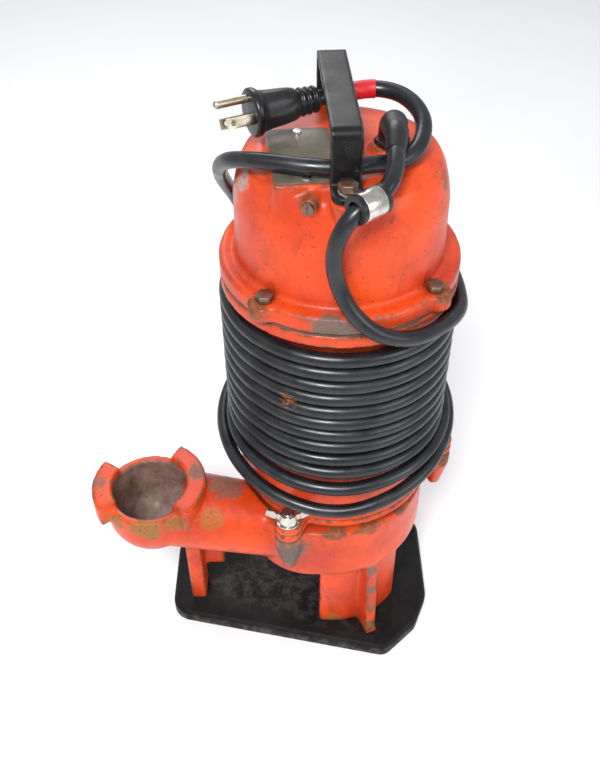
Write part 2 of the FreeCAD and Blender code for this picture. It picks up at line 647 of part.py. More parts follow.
def handle():
    """Flat strap bent to a low arch, with feet that turn outwards."""
    foot_end, corner, top, foot_z = HANDLE_HALF + HANDLE_FOOT, HANDLE_HALF, HANDLE_TOP, DOME_TOP
    t, b = STRAP_T, HANDLE_BEND_R
    half = [(foot_end, foot_z + t), (foot_end, foot_z), (corner - t, foot_z), (corner - t, top - t)]
    outer = [(corner, top), (corner, foot_z + t)] + half
    outer += [(-y, z) for y, z in reversed(outer)]
    points = [V(-STRAP_W / 2, y, z) for y, z in outer]
    strap = Part.Face(Part.makePolygon(points + points[:1])).extrude(V(STRAP_W, 0, 0))
    for y, z, radius in ((corner, top, b), (corner - t, top - t, b - t), (corner, foot_z + t, t / 2),
                         (corner - t, foot_z, t)):
        bend = [e for e in strap.Edges if abs(abs(e.CenterOfMass.y) - y) < 1e-3
                and abs(e.CenterOfMass.z - z) < 1e-3 and e.BoundBox.XLength > STRAP_W - 1]
        strap = strap.makeFillet(radius, bend)
    ends = [e for e in strap.Edges
            if abs(abs(e.CenterOfMass.y) - foot_end) < 1e-3 and e.BoundBox.ZLength > t - 0.1]
    strap = strap.makeFillet(HANDLE_CORNER_R, ends)
    strap.rotate(V(0, 0, 0), Z, HANDLE_TURN)
    strap.translate(V(HANDLE_X, 0, 0))
    for at in handle_bolt_places():
        strap = strap.cut(cyl(HANDLE_BOLT_R + SCREW_PLAY, foot_z - 1, foot_z + t + 1, at))
    return strap


def handle_bolts():
    foot_top = DOME_TOP + STRAP_T
    near, far = handle_bolt_places()
    ear_top = foot_top + 2 * CLIP_T
    return Part.makeCompound([m6_bolt(near, HANDLE_BOLT_R, ear_top, HANDLE_BOLT_L),
                              m6_bolt(far, HANDLE_BOLT_R, foot_top, HANDLE_BOLT_L)])


def clip_frame():
    """Centre of the cord clip and the heading of the cord through it."""
    ear = handle_bolt_places()[0]
    heading = polar(1, CLIP_AXIS_TURN)
    across = V(heading.y, -heading.x, 0) * -1
    centre = V(ear.x, ear.y, 0) + across * CLIP_REACH
    centre.z = DOME_TOP + STRAP_T + CLIP_T
    return centre, heading, across


def clip_round(radius, half_width):
    centre, heading, _ = clip_frame()
    return Part.makeCylinder(radius, 2 * half_width, centre - heading * half_width, heading)


def cord_clip():
    centre, heading, across = clip_frame()
    band_r = CORD_R + CUSHION_T + CLIP_T
    band = clip_round(band_r, CLIP_W / 2)
    ear = fuse(block(-CLIP_REACH, 0, -CLIP_EAR_R, CLIP_EAR_R, -CLIP_T, CLIP_T),
               cyl(CLIP_EAR_R, -CLIP_T, CLIP_T, V(-CLIP_REACH, 0, 0)))
    ear.rotate(V(0, 0, 0), Z, math.degrees(math.atan2(across.y, across.x)))
    ear.translate(centre)
    body = fuse(band, ear).cut(clip_round(band_r - CLIP_T, CLIP_W))
    return body.cut(cyl(HANDLE_BOLT_R + SCREW_PLAY, centre.z - 9, centre.z + 9, handle_bolt_places()[0]))


def clip_cushion():
    outer = CORD_R + CUSHION_T
    lip = clip_round(outer + 1.0, CLIP_W / 2 + 3).cut(clip_round(outer + 2, CLIP_W / 2 + 0.2))
    body = fuse(clip_round(outer - 0.05, CLIP_W / 2 + 2), lip)
    return body.cut(clip_round(CORD_R + 0.02, CLIP_W))


def gland_nut():
    z0 = DOME_TOP + GLAND_BOSS_H
    at = V(GLAND_X, GLAND_Y, 0)
    body = hexagon(2 * GLAND_NUT_R - 1, z0, z0 + GLAND_NUT_H - 2, at)
    body = fuse(body, cyl(GLAND_NUT_R - 1.2, z0 + GLAND_NUT_H - 2, z0 + GLAND_NUT_H, at),
                cyl(GLAND_HOLE_R - 0.1, z0 - 9, z0, at))
    return body.cut(cyl(BOOT_BASE_R - GROMMET_WALL, z0 - 10, z0 + 20, at))


def strain_relief():
    """Tapered rubber boot that leaves the gland upwards and leans over to the cord."""
    base, tip = V(GLAND_X, GLAND_Y, GLAND_TOP), CORD_FRONT[0]
    heading = (CORD_FRONT[0] - CORD_FRONT[1]).normalize()
    centres = [base, base + V(0, -1.2, 4.5), base + V(-0.1, -6.5, 8.6), base + V(-0.4, -14, 9.8),
               tip + heading * 9, tip]
    headings = [V(0, 0, 1), V(0, -0.45, 0.9), V(0, -0.92, 0.4), V(-0.05, -1, 0.02), -heading, -heading]
    count = len(centres)
    rings = []
    for i, (centre, direction) in enumerate(zip(centres, headings)):
        radius = BOOT_BASE_R + (BOOT_TIP_R - BOOT_BASE_R) * i / (count - 1)
        rings.append(Part.Wire(Part.Circle(centre, direction, radius).toShape()))
    return Part.makeLoft(rings, True, False)


def gland_grommet():
    radius = BOOT_BASE_R - GROMMET_WALL - THREAD_FIT
    return cyl(radius, GLAND_TOP - GROMMET_L, GLAND_TOP, V(GLAND_X, GLAND_Y, 0))


def coil():
    """Closed outer shape of the wound cord: a close-wound band and the loose turn that hangs below it."""
    inner, outer = MOTOR_R + COIL_CLEARANCE, MOTOR_R + COIL_CLEARANCE + 2 * CORD_R
    band = ring(inner, outer, COIL_BOTTOM, COIL_TOP)
    wedge = Part.makeBox(300, 300, 80, V(-150, -150, -80))
    wedge.rotate(V(0, 0, 0), V(1, 0, 0), 4.5)
    wedge.translate(V(0, 0, COIL_BOTTOM + 6.5))
    band = band.cut(wedge)
    loop = Part.makeTorus(LOOP_R, CORD_R, V(0, 0, LOOP_Z), Z)
    loop.rotate(V(0, 0, LOOP_Z), V(1, 0, 0), LOOP_TILT)
    return fuse(band, loop)


def cord_band():
    """Marker tape wrapped round the cord near its plug."""
    a, b = CORD_REAR[-3], CORD_REAR[-2]
    heading = (b - a).normalize()
    start = a + heading * BAND_START
    body = Part.makeCylinder(CORD_R + BAND_T, BAND_L, start, heading)
    return body.cut(Part.makeCylinder(CORD_R + 0.02, 2 * BAND_L, start - heading * BAND_L / 2, heading))


def plug_place(shape):
    """From the plug's own frame (blades along +X, pin along its +Z side) to the object's."""
    placed = shape.copy()
    placed.rotate(V(0, 0, 0), V(1, 0, 0), BLADE_ROLL)
    placed.rotate(V(0, 0, 0), Z, PLUG_AXIS_TURN)
    placed.translate(PLUG_END)
    return placed


def plug_body():
    face = PLUG_NECK_L + PLUG_L - PLUG_FACE_T
    body = [Part.makeCone(6.4, 8.2, PLUG_NECK_L, V(0, 0, 0), V(1, 0, 0)),
            Part.makeCone(8.6, 12.0, PLUG_L - PLUG_FACE_T, V(PLUG_NECK_L, 0, 0), V(1, 0, 0)),
            Part.makeCylinder(PLUG_FACE_R, PLUG_FACE_T, V(face, 0, 0), V(1, 0, 0))]
    body += [Part.makeCylinder(8.8, 1.8, V(1.5 + 3.6 * i, 0, 0), V(1, 0, 0)) for i in range(3)]
    return plug_place(fuse(*body))


def plug_blades():
    face = PLUG_NECK_L + PLUG_L
    blades = []
    for side in (-1, 1):
        y = side * BLADE_GAP / 2
        blade = block(face, face + BLADE_L, y - BLADE_T / 2, y + BLADE_T / 2,
                      -BLADE_W / 2 - BLADE_DROP, BLADE_W / 2 - BLADE_DROP)
        hole = Part.makeCylinder(1.5, 4, V(face + BLADE_L - 4, y - 2, -BLADE_DROP), V(0, 1, 0))
        blades.append(plug_place(blade.cut(hole)))
    return Part.makeCompound(blades)


def plug_ground_pin():
    face = PLUG_NECK_L + PLUG_L
    pin = Part.makeCylinder(PIN_R, PIN_L, V(face, 0, PIN_OFFSET), V(1, 0, 0))
    tip = Part.makeSphere(PIN_R, V(face + PIN_L, 0, PIN_OFFSET))
    return plug_place(fuse(pin, tip))


def volute_studs():
    top = FOOT_TOP + WASHER_T + WING_HUB_H + 2
    root = VOLUTE_TOP - STUD_DEPTH + 1
    return Part.makeCompound([cyl(STUD_R - THREAD_FIT, root, top, polar(STUD_CIRCLE_R, a))
                              for a in STUD_ANGLES])


def stud_washers():
    return Part.makeCompound([ring(STUD_R + SCREW_PLAY, WING_HUB_R + 1.5, FOOT_TOP, FOOT_TOP + WASHER_T,
                                   polar(STUD_CIRCLE_R, a)) for a in STUD_ANGLES])


def wing_nut(at, turn):
    z0 = FOOT_TOP + WASHER_T
    hub = Part.makeCone(WING_HUB_R, WING_HUB_R - 1.5, WING_HUB_H, V(at.x, at.y, z0))
    wings = []
    for side in (-1, 1):
        rise = [(3.0, 1.0), (WING_HUB_R + 3, 2.5), (WING_SPAN, 7.0), (WING_SPAN - 1.5, WING_TIP_H),
                (WING_SPAN - 6.5, WING_TIP_H - 1.5), (WING_HUB_R + 0.5, WING_HUB_H - 0.5),
                (3.0, WING_HUB_H - 0.5)]
        corners = [V(at.x + side * x, at.y - WING_T / 2, z0 + z) for x, z in rise]
        wings.append(Part.Face(Part.makePolygon(corners + corners[:1])).extrude(V(0, WING_T, 0)))
    return turned(fuse(hub, *wings).cut(cyl(STUD_R, z0 - 1, z0 + 20, at)), turn, at)


def wing_nuts():
    return Part.makeCompound([wing_nut(polar(STUD_CIRCLE_R, a), t) for a, t in zip(STUD_ANGLES, WING_TURNS)])


def impeller():
    z0, z1 = IMPELLER_Z
    shroud = cyl(IMPELLER_R, z1 - SHROUD_T, z1)
    hub = cyl(HUB_R, z0 + 6, z1 + 3)
    vanes = []
    for start in (0, 180):
        vane = sector(VANE_BEND_R, VANE_BEND_R + VANE_T, z0, z1 - SHROUD_T + 1, -150, 0,
                      V(VANE_BEND_R - VANE_T, 0, 0))
        vanes.append(turned(vane.common(cyl(IMPELLER_R, z0 - 1, z1 + 1)), start))
    body = fuse(shroud, hub, *vanes)
    body = body.cut(cyl(SHAFT_R - 1.5, z0 + 12, z1 + 5))
    return body.cut(cyl(IMPELLER_SCREW_R + 0.2, z0, z1))


def impeller_washer():
    return ring(IMPELLER_SCREW_R + 0.3, 9, IMPELLER_Z[0] + 4.5, IMPELLER_Z[0] + 6)


def impeller_screw():
    seat = IMPELLER_Z[0] + 4.5
    return fuse(cyl(IMPELLER_SCREW_R - 0.05, seat, seat + 26), hexagon(13, seat - 5, seat, V(0, 0, 0)))


def shaft():
    lower_seat = LOWER_BEARING_Z - 3
    body = fuse(cyl(SHAFT_R - 1.5 - 0.02, IMPELLER_Z[0] + 12, IMPELLER_Z[1] + 3),
                cyl(SHAFT_R, IMPELLER_Z[1] + 3, lower_seat),
                cyl(BEARING_BORE_R - 0.01, lower_seat, CORE_Z[0] - 12),
                cyl(BEARING_BORE_R + 2.5, CORE_Z[0] - 12, CORE_Z[1] + 12),
                cyl(BEARING_BORE_R - 0.01, CORE_Z[1] + 12, SHAFT_TOP))
    return body.cut(cyl(IMPELLER_SCREW_R, 0, IMPELLER_Z[0] + 32))


def shaft_snap_ring():
    z0 = LOWER_BEARING_Z + BEARING_W + 0.1
    return ring(BEARING_BORE_R, BEARING_BORE_R + 2.4, z0, z0 + 1.2).cut(block(0, 20, -2, 2, z0 - 1, z0 + 3))


def rotor_core():
    return ring(BEARING_BORE_R + 2.5, ROTOR_R, *CORE_Z)


def rotor_end_rings():
    z0, z1 = CORE_Z
    blades = []
    for a in range(0, 360, 60):
        blades += [turned(block(24, 33, -1.5, 1.5, z1 + END_RING_H - 0.5, z1 + END_RING_H + 5), a),
                   turned(block(24, 33, -1.5, 1.5, z0 - END_RING_H - 5, z0 - END_RING_H + 0.5), a)]
    upper = fuse(ring(22, ROTOR_R - 1, z1, z1 + END_RING_H), *blades[0::2])
    lower = fuse(ring(22, ROTOR_R - 1, z0 - END_RING_H, z0), *blades[1::2])
    return Part.makeCompound([upper, lower])


def stator_core():
    body = ring(ROTOR_R + AIR_GAP, MOTOR_R - MOTOR_WALL - 0.05, *CORE_Z)
    slot = block(WINDING_R[0] + 1, WINDING_R[1] - 4, -2, 2, CORE_Z[0] - 1, CORE_Z[1] + 1)
    for a in range(0, 360, 15):
        body = body.cut(turned(slot, a))
    return body


def stator_windings():
    (r0, r1), (z0, z1) = WINDING_R, CORE_Z
    coils = []
    for base, sign in ((z1, 1), (z0, -1)):
        profile = [(r0 + 1, base), (r1 - 1, base), (r1, base + sign * 4), (r1, base + sign * (WINDING_H - 5)),
                   (r1 - 5, base + sign * WINDING_H), (r0 + 5, base + sign * WINDING_H),
                   (r0, base + sign * (WINDING_H - 5)), (r0, base + sign * 4)]
        coils.append(revolve(profile))
    slots = [turned(block(r0 + 1.5, r1 - 4.5, -1.8, 1.8, z0, z1), a) for a in range(0, 360, 15)]
    return fuse(coils[0], coils[1], *slots)


def bearing_groove(z):
    return Part.makeTorus(BALL_CIRCLE_R, BALL_R + RUNNING_GAP, V(0, 0, z + BEARING_W / 2))


def bearing_inner(z):
    return ring(BEARING_BORE_R, BALL_CIRCLE_R - 2.2, z, z + BEARING_W).cut(bearing_groove(z))


def bearing_outer(z):
    return ring(BALL_CIRCLE_R + 2.2, BEARING_R, z, z + BEARING_W).cut(bearing_groove(z))


def ball_places(z):
    return [polar(BALL_CIRCLE_R, 360 * i / BALL_COUNT, z) for i in range(BALL_COUNT)]


def bearing_balls(z):
    return Part.makeCompound([Part.makeSphere(BALL_R, at) for at in ball_places(z + BEARING_W / 2)])


def bearing_cage(z):
    middle = z + BEARING_W / 2
    body = ring(BALL_CIRCLE_R - 1.2, BALL_CIRCLE_R + 1.2, middle - 2.6, middle + 2.6)
    for at in ball_places(middle):
        body = body.cut(Part.makeSphere(BALL_R + RUNNING_GAP, at))
    return body


def wave_washer():
    z0 = UPPER_BEARING_Z + BEARING_W + 0.1
    return ring(BEARING_R - 4.5, BEARING_R - 0.3, z0, z0 + 1.0)


def seal_seat_cup():
    return ring(SEAL_SEAT_R - 2, SEAL_SEAT_R - 0.02, *SEAL_SEAT_Z)


def seal_seat():
    return ring(SHAFT_R + 0.6, SEAL_SEAT_R - 2.02, *SEAL_SEAT_Z)


def seal_carbon_face():
    top = SEAL_SEAT_Z[0] - RUNNING_GAP
    return ring(SHAFT_R + 0.4, SEAL_SEAT_R - 1.5, top - SEAL_FACE_H, top)


def seal_bellows():
    top = SEAL_SEAT_Z[0] - RUNNING_GAP - SEAL_FACE_H
    return ring(SHAFT_R, SEAL_SEAT_R - 2.5, IMPELLER_Z[1] + 5.2, top)


def seal_spring():
    """Wave spring in four stacked turns, between the retainer and the carbon face."""
    top = SEAL_SEAT_Z[0] - RUNNING_GAP - SEAL_FACE_H
    z0 = IMPELLER_Z[1] + 5.2
    pitch = (top - z0) / 4
    inner, outer = SEAL_SEAT_R - 2.4, SEAL_SEAT_R - 0.6
    turns = [ring(inner, outer, z, z + 0.9) for z in (z0 + pitch * i for i in range(4))]
    ties = [turned(block(inner + 0.2, outer - 0.2, -1, 1, z0 + pitch * i, z0 + pitch * (i + 1)), 90 * i)
            for i in range(4)]
    return fuse(*turns, *ties)


def seal_retainer():
    return ring(SHAFT_R, SEAL_SEAT_R, IMPELLER_Z[1] + 3.2, IMPELLER_Z[1] + 5.2)


def capacitor():
    start = CAPACITOR_AT - V(0, CAPACITOR_L / 2, 0)
    can = Part.makeCylinder(CAPACITOR_R, CAPACITOR_L, start, V(0, 1, 0))
    tabs = [block(CAPACITOR_AT.x + s * 7 - 3, CAPACITOR_AT.x + s * 7 + 3, start.y - 7, start.y + 1,
                  CAPACITOR_AT.z - 0.5, CAPACITOR_AT.z + 0.5) for s in (-1, 1)]
    return fuse(can, *tabs)


def capacitor_strap():
    x, y, z = CAPACITOR_AT.x, CAPACITOR_AT.y, CAPACITOR_AT.z
    r = CAPACITOR_R + 0.05
    y0, y1 = y - CAPACITOR_STRAP_W / 2, y + CAPACITOR_STRAP_W / 2
    hoop = Part.makeCylinder(r + 1, CAPACITOR_STRAP_W, V(x, y0, z), V(0, 1, 0))
    sides = block(x - r - 1, x + r + 1, y0, y1, MOTOR_TOP, z)
    feet = block(x - r - 12, x + r + 12, y0, y1, MOTOR_TOP, MOTOR_TOP + 1.2)
    body = fuse(hoop, sides, feet)
    body = body.cut(Part.makeCylinder(r, 40, V(x, y - 20, z), V(0, 1, 0)))
    return body.cut(block(x - r, x + r, y - 20, y + 20, MOTOR_TOP - 1, z))


def overload_protector():
    can_top = MOTOR_TOP + 11
    return fuse(cyl(PROTECTOR_R, MOTOR_TOP, can_top, PROTECTOR_AT),
                cyl(PROTECTOR_R - 4, can_top, can_top + 2, PROTECTOR_AT))


def internal_leads():
    """Three insulated wires from the gland down through the bracket to the windings."""
    wires = []
    for i, (angle, bend) in enumerate(WIRE_BENDS.items()):
        hole = polar(BRACKET_HOLE_CIRCLE_R, angle)
        top = V(GLAND_X + 2.2 * WIRE_R * (i - 1), GLAND_Y, GLAND_TOP - GROMMET_L)
        points = [top, V(top.x, top.y, top.z - 14), bend, V(hole.x, hole.y, MOTOR_TOP + 18),
                  V(hole.x + 0.6, hole.y, CORE_Z[1] + WINDING_H)]
        wires.append(tube(points, WIRE_R))
    return Part.makeCompound(wires)


LOWER, UPPER = LOWER_BEARING_Z, UPPER_BEARING_Z
PARTS = {
    "base_plate": base_plate, "base_plate_screws": base_plate_screws, "volute_casing": volute_casing,
    "volute_gasket": volute_gasket, "seal_housing": seal_housing, "motor_housing": motor_housing,
    "upper_bearing_bracket": upper_bearing_bracket, "cap_gasket": cap_gasket, "motor_cap": motor_cap,
    "cap_bolts": cap_bolts, "oil_fill_plug": oil_fill_plug, "nameplate": nameplate,
    "nameplate_screws": nameplate_screws, "handle": handle, "handle_bolts": handle_bolts,
    "cord_clip": cord_clip, "clip_cushion": clip_cushion, "gland_nut": gland_nut,
    "gland_grommet": gland_grommet, "strain_relief": strain_relief,
    "cord_lead_front": lambda: tube(CORD_FRONT, CORD_R), "cord_coil": coil,
    "cord_lead_rear": lambda: tube(CORD_REAR, CORD_R), "cord_band": cord_band, "plug_body": plug_body,
    "plug_blades": plug_blades, "plug_ground_pin": plug_ground_pin, "volute_studs": volute_studs,
    "stud_washers": stud_washers, "wing_nuts": wing_nuts, "impeller": impeller,
    "impeller_washer": impeller_washer, "impeller_screw": impeller_screw, "shaft": shaft,
    "shaft_snap_ring": shaft_snap_ring, "rotor_core": rotor_core, "rotor_end_rings": rotor_end_rings,
    "stator_core": stator_core, "stator_windings": stator_windings,
    "lower_bearing_inner": lambda: bearing_inner(LOWER), "lower_bearing_outer": lambda: bearing_outer(LOWER),
    "lower_bearing_balls": lambda: bearing_balls(LOWER), "lower_bearing_cage": lambda: bearing_cage(LOWER),
    "upper_bearing_inner": lambda: bearing_inner(UPPER), "upper_bearing_outer": lambda: bearing_outer(UPPER),
    "upper_bearing_balls": lambda: bearing_balls(UPPER), "upper_bearing_cage": lambda: bearing_cage(UPPER),
    "wave_washer": wave_washer, "seal_seat_cup": seal_seat_cup, "seal_seat": seal_seat,
    "seal_carbon_face": seal_carbon_face, "seal_bellows": seal_bellows, "seal_spring": seal_spring,
    "seal_retainer": seal_retainer, "capacitor": capacitor, "capacitor_strap": capacitor_strap,
    "overload_protector": overload_protector, "internal_leads": internal_leads,
}


def report_route(name, points, solid):
    """Prints a cord tube's bend radii, and compares its volume with section times length."""
    radii = [corner_radius(a, b, c) for a, b, c in zip(points, points[1:], points[2:])]
    length = route_wire(points).Length
    print(name, "bend radii", " ".join(f"{r:.0f}" for r in radii), f"length {length:.0f}",
          f"volume ratio {solid.Volume / (math.pi * CORD_R ** 2 * length):.4f}")


os.makedirs("parts", exist_ok=True)
for part_name, make in PARTS.items():
    shape = make()
    if not shape.isValid() or not shape.Solids:
        print("invalid:", part_name, shape.ShapeType)
    shape.exportStep(f"parts/{part_name}.step")
    if part_name.startswith("cord_lead"):
        report_route(part_name, CORD_FRONT if "front" in part_name else CORD_REAR, shape)
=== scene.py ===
import json
import math
import random

import bmesh
import bpy
from mathutils import Matrix, Vector

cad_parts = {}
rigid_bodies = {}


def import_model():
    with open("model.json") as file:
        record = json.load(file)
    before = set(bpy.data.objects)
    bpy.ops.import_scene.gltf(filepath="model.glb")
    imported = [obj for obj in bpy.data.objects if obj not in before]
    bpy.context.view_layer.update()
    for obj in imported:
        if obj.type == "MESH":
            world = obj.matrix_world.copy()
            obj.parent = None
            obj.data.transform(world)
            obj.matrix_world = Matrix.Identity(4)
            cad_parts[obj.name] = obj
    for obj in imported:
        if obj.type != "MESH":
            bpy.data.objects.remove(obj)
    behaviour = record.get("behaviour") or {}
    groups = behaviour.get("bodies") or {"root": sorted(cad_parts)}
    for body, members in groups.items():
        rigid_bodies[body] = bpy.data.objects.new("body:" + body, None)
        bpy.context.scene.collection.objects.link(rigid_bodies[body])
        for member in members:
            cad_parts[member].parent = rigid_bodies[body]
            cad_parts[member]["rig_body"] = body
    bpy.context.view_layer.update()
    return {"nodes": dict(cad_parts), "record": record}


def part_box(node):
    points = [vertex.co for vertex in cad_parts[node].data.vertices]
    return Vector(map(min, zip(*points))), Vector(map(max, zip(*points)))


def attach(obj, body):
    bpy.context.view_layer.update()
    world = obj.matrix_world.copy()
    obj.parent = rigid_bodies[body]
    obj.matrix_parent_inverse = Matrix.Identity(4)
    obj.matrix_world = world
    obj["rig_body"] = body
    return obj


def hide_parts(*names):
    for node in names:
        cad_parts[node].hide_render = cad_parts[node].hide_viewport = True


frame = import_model()
NODES = frame["nodes"]
MM = 0.001

# --- camera: metres, degrees below the horizon, degrees, and millimetres of lens ---
CAMERA_AT = (-0.0268, -0.491, 0.6991)
CAMERA_DOWN = 43.587
CAMERA_ROLL = -0.5
CAMERA_LENS = 41.52

# --- supply cord, millimetres: its two leads take the same points as the CAD tubes' runs ---
CORD_R = 5.0
CORD_FRONT = [(28, -37, 453), (27.5, -49, 451), (25, -60.5, 446), (18.2, -69.7, 440.8),
              (4.5, -80.8, 438.6), (-4.2, -83.5, 427), (-8, -80, 408), (-5, -79.5, 388),
              (4, -83.5, 370), (20, -86.5, 355.5), (42, -78, 345), (64, -60, 341.5),
              (78.5, -36, 335), (80, -13, 333.3)]
CORD_REAR = [(16, 84.5, 234.5), (-8, 87, 242), (-30, 83, 257), (-48, 76, 278), (-58, 71, 305),
             (-63.5, 69, 335), (-70, 60, 361), (-75.5, 42, 383), (-77, 21, 403), (-74.5, 0, 421.5),
             (-67, -19, 435), (-54, -32, 442),
             (-38, -37.5, 443), (-19, -43, 443), (0, -43.3, 442.5), (17, -36.5, 441.2),
             (32, -34, 440.6), (44.5, -22, 444), (48.5, 0, 450.5), (39, 20, 455), (23, 30, 455.5),
             (4, 26, 455), (-15, 17, 455)]
# --- winding, millimetres and degrees: it goes down anticlockwise from +X ---
COIL_R = 76.3              # of the neat turns' centreline
COIL_PITCH = 11.15
COIL_FRONT_TOP = 327.2     # height of the first neat turn at the front
NEAT_TURNS = 8
STEP = 15.0                # from one control point to the next
CUT_IN = 0.9915            # radius of the spline's turns, as a share of their control points'
COIL_START = 6.0
COIL_SEED = 5
RADIUS_PLAY = (-0.1, 0.25)
HEIGHT_PLAY = (-0.35, 0.35)
# Rows of angle turned, centreline radius and height.
FIRST_TURN = [(0, 79.0, 333.3), (24, COIL_R, 333.1), (90, COIL_R, 332.8)]
LOOSE_TURNS = [(2970, 76.3, 243.9), (3150, 76.4, 236), (3330, 76.4, 233), (3510, 77, 223),
               (3690, 76.8, 222), (3870, 80, 208), (4050, 86.5, 224.3), (4230, 86, 189.5),
               (4399.3, 86, 234.5)]


def linked(name, data):
    piece = bpy.data.objects.new(name, data)
    bpy.context.scene.collection.objects.link(piece)
    return piece


def make_camera():
    data = bpy.data.cameras.new("camera")
    data.lens = CAMERA_LENS
    camera = linked("camera", data)
    pitch = Matrix.Rotation(math.radians(90 - CAMERA_DOWN), 4, "X")
    roll = Matrix.Rotation(math.radians(CAMERA_ROLL), 4, "Z")
    camera.matrix_world = Matrix.Translation(CAMERA_AT) @ pitch @ roll
    bpy.context.scene.camera = camera


def between(table, at):
    """Values at a position, in proportion between the rows (position, value, value) of a table."""
    for (a, *low), (b, *high) in zip(table, table[1:]):
        if at <= b:
            share = (at - a) / (b - a)
            return [p + (q - p) * share for p, q in zip(low, high)]
    return table[-1][1:]


def coil_points():
    """Control points of the winding, with the small unevenness of a cord wound by hand."""
    neat = [(270 + 360 * turn, COIL_R, COIL_FRONT_TOP - COIL_PITCH * turn) for turn in range(NEAT_TURNS)]
    table = FIRST_TURN + neat + LOOSE_TURNS
    draw = random.Random(COIL_SEED)
    points, angle = [], COIL_START
    while angle < table[-1][0] - STEP / 2:
        radius, height = between(table, angle)
        radius = radius / CUT_IN + draw.uniform(*RADIUS_PLAY)
        height += draw.uniform(*HEIGHT_PLAY)
        a = math.radians(angle)
        points.append((radius * math.cos(a), radius * math.sin(a), height))
        angle += STEP
    return points


def spline_through(name, places, resolution):
    """Smooth open line with the places, in metres, as its control points."""
    data = bpy.data.curves.new(name, "CURVE")
    data.dimensions = "3D"
    spline = data.splines.new("NURBS")
    spline.points.add(len(places) - 1)
    for point, place in zip(spline.points, places):
        point.co = (*place, 1)
    spline.order_u = 3
    spline.use_endpoint_u = True
    spline.resolution_u = resolution
    return linked(name, data)


def make_cord():
    points = CORD_FRONT + coil_points() + CORD_REAR
    made = spline_through("supply_cord", [Vector(point) * MM for point in points], 5)
    made.data.bevel_depth = CORD_R * MM
    made.data.bevel_resolution = 5
    made.data.use_fill_caps = True
    return made


def centreline(curve):
    """Points along a curve's own line, in metres."""
    bare = curve.data.copy()
    bare.bevel_depth = 0
    bare.use_fill_caps = False
    probe = bpy.data.objects.new("probe", bare)
    mesh = bpy.data.meshes.new_from_object(probe)
    points = [v.co.copy() for v in mesh.vertices]
    bpy.data.objects.remove(probe)
    bpy.data.meshes.remove(mesh)
    return points


make_camera()
cord = make_cord()


# --- mesh helpers ---
def smooth_shaded(mesh, angle=35):
    for polygon in mesh.polygons:
        polygon.use_smooth = True
    mesh.set_sharp_from_angle(angle=math.radians(angle))


def settle(piece, *modifiers):
    """Adds modifiers given as (type, settings), and replaces the mesh by their result."""
    for kind, settings in modifiers:
        modifier = piece.modifiers.new(kind.lower(), kind)
        for key, value in settings.items():
            setattr(modifier, key, value)
    bpy.context.view_layer.update()
    result = bpy.data.meshes.new_from_object(piece.evaluated_get(bpy.context.evaluated_depsgraph_get()))
    piece.modifiers.clear()
    piece.data = result


def stands_for(piece, node, material):
    """The piece takes a CAD node's place, body and finish."""
    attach(piece, NODES[node]["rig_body"])
    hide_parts(node)
    piece.data.materials.clear()
    piece.data.materials.append(material)
    return piece


def copy_of(node, name):
    piece = linked(name, NODES[node].data.copy())
    edit = bmesh.new()
    edit.from_mesh(piece.data)
    bmesh.ops.remove_doubles(edit, verts=edit.verts, dist=1e-6)
    edit.to_mesh(piece.data)
    edit.free()
    return piece


def cast(node, name, material, grain, rounds):
    """Skin of a casting or a worn piece: the node's shape with its corners and creases rounded.
    grain is the remesh's cell in millimetres, and rounds how often it is smoothed."""
    piece = copy_of(node, name)
    settle(piece, ("REMESH", {"mode": "VOXEL", "voxel_size": grain * MM, "use_smooth_shade": True}),
           ("SMOOTH", {"factor": 0.5, "iterations": rounds}))
    smooth_shaded(piece.data, 80)
    stands_for(piece, node, material)


def eased(node, name, material, width):
    """A machined or pressed piece: the node's shape with small round edges, width in millimetres."""
    piece = copy_of(node, name)
    edit = bmesh.new()
    edit.from_mesh(piece.data)
    bmesh.ops.dissolve_limit(edit, angle_limit=math.radians(1), verts=edit.verts, edges=edit.edges)
    edit.to_mesh(piece.data)
    edit.free()
    settle(piece, ("BEVEL", {"width": width * MM, "segments": 2, "limit_method": "ANGLE",
                             "angle_limit": math.radians(35)}))
    smooth_shaded(piece.data)
    return stands_for(piece, node, material)


def rings_to_mesh(name, rings):
    """Closed skin through rings of points, capped at both ends."""
    mesh = bpy.data.meshes.new(name)
    count = len(rings[0])
    faces = []
    for i in range(len(rings) - 1):
        for j in range(count):
            k = (j + 1) % count
            faces.append((i * count + j, i * count + k, (i + 1) * count + k, (i + 1) * count + j))
    faces.append(tuple(reversed(range(count))))
    faces.append(tuple(range((len(rings) - 1) * count, len(rings) * count)))
    mesh.from_pydata([p for ring in rings for p in ring], [], faces)
    mesh.validate()
    piece = linked(name, mesh)
    edit = bmesh.new()
    edit.from_mesh(mesh)
    bmesh.ops.recalc_face_normals(edit, faces=edit.faces)
    edit.to_mesh(mesh)
    edit.free()
    return piece


def sleeve(name, path, radii, sides=32):
    """Round skin along a path, with a radius at each of its points."""
    rings = []
    across = (path[1] - path[0]).orthogonal()
    for i, (centre, radius) in enumerate(zip(path, radii)):
        along = (path[min(i + 1, len(path) - 1)] - path[max(i - 1, 0)]).normalized()
        across = (across - along * across.dot(along)).normalized()
        up = along.cross(across)
        rings.append([centre + (across * math.cos(t) + up * math.sin(t)) * radius
                      for t in (2 * math.pi * j / sides for j in range(sides))])
    piece = rings_to_mesh(name, rings)
    smooth_shaded(piece.data, 50)
    return piece


